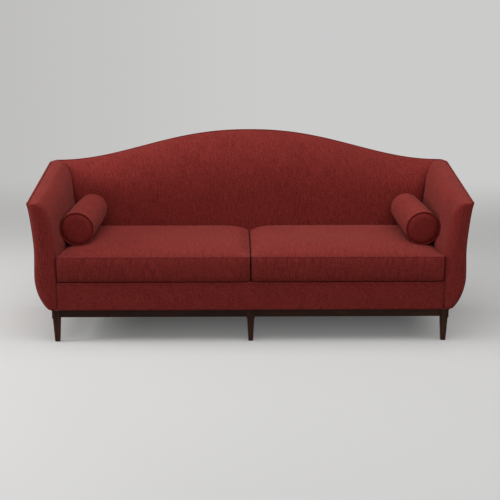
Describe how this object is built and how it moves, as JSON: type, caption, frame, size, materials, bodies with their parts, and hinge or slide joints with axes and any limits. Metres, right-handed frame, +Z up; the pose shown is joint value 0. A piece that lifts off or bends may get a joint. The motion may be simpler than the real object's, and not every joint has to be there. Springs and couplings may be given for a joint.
{
  "type": "camelback sofa",
  "caption": "Camelback sofa with welted, flared arms, loose seat cushions, round bolsters and a dark base on square tapered legs.",
  "frame": {"origin": "on the floor, under the middle of the whole sofa", "axes": "+X to the right of someone who faces the sofa's front, +Y to the back, +Z up; node names use that person's left and right"},
  "size_m": [2.184, 0.7876, 0.984],
  "materials": {
    "cover_fabric": "matt dark red chenille",
    "welt_fabric": "matt dark red chenille over cord",
    "deck_cloth": "plain matt decking cloth",
    "dust_cloth": "matt black spunbonded cloth",
    "dark_wood": "espresso stain, satin lacquer",
    "frame_wood": "bare sanded hardwood",
    "spring_steel": "grey oil-tempered wire",
    "glide_nylon": "dark nylon",
    "zip_tape": "woven tape",
    "zip_metal": "dull nickel"
  },
  "bodies": {
    "sofa_body": {"leg_front_left": "dark_wood", "leg_front_centre": "dark_wood", "leg_front_right": "dark_wood", "leg_back_left": "dark_wood", "leg_back_centre": "dark_wood", "leg_back_right": "dark_wood", "glide_front_left": "glide_nylon", "glide_front_centre": "glide_nylon", "glide_front_right": "glide_nylon", "glide_back_left": "glide_nylon", "glide_back_centre": "glide_nylon", "glide_back_right": "glide_nylon", "base_rail_front_left": "dark_wood", "base_rail_front_right": "dark_wood", "base_rail_back_left": "dark_wood", "base_rail_back_right": "dark_wood", "base_rail_left": "dark_wood", "base_rail_right": "dark_wood", "seat_rail_front": "frame_wood", "seat_rail_back": "frame_wood", "seat_rail_left": "frame_wood", "seat_rail_right": "frame_wood", "seat_stretcher": "frame_wood", "seat_spring_left_1": "spring_steel", "seat_spring_left_2": "spring_steel", "seat_spring_left_3": "spring_steel", "seat_spring_left_4": "spring_steel", "seat_spring_right_1": "spring_steel", "seat_spring_right_2": "spring_steel", "seat_spring_right_3": "spring_steel", "seat_spring_right_4": "spring_steel", "seat_deck": "deck_cloth", "front_border": "cover_fabric", "dust_cover": "dust_cloth", "back_post_left": "frame_wood", "back_post_right": "frame_wood", "back_post_centre": "frame_wood", "back_top_rail": "frame_wood", "back_lower_rail": "frame_wood", "arm_post_left": "frame_wood", "arm_post_right": "frame_wood", "arm_top_rail_left": "frame_wood", "arm_top_rail_right": "frame_wood", "arm_welt_left": "welt_fabric", "arm_welt_right": "welt_fabric", "back_welt": "welt_fabric", "arm_pad_left": "cover_fabric", "arm_pad_right": "cover_fabric", "arm_outside_left": "cover_fabric", "arm_outside_right": "cover_fabric", "inside_back": "cover_fabric", "outside_back": "cover_fabric"},
    "left_cushion": {"seat_cushion_left": "cover_fabric", "cushion_zip_left": "zip_tape"},
    "right_cushion": {"seat_cushion_right": "cover_fabric", "cushion_zip_right": "zip_tape"},
    "left_bolster": {"bolster_left": "cover_fabric"},
    "right_bolster": {"bolster_right": "cover_fabric"},
    "left_zip_slider": {"zip_slider_left": "zip_metal"},
    "right_zip_slider": {"zip_slider_right": "zip_metal"}
  },
  "joints": [
    {"name": "left_cushion_lift", "type": "slide", "parent": "sofa_body", "child": "left_cushion", "axis": [0, 0, 1], "range_m": [0, 0.35]},
    {"name": "right_cushion_lift", "type": "slide", "parent": "sofa_body", "child": "right_cushion", "axis": [0, 0, 1], "range_m": [0, 0.35]},
    {"name": "left_bolster_lift", "type": "slide", "parent": "left_cushion", "child": "left_bolster", "axis": [0, 0, 1], "range_m": [0, 0.3]},
    {"name": "right_bolster_lift", "type": "slide", "parent": "right_cushion", "child": "right_bolster", "axis": [0, 0, 1], "range_m": [0, 0.3]},
    {"name": "left_zip_slide", "type": "slide", "parent": "left_cushion", "child": "left_zip_slider", "axis": [-1, 0, 0], "range_m": [0, 0.6]},
    {"name": "right_zip_slide", "type": "slide", "parent": "right_cushion", "child": "right_zip_slider", "axis": [1, 0, 0], "range_m": [0, 0.6]}
  ]
}
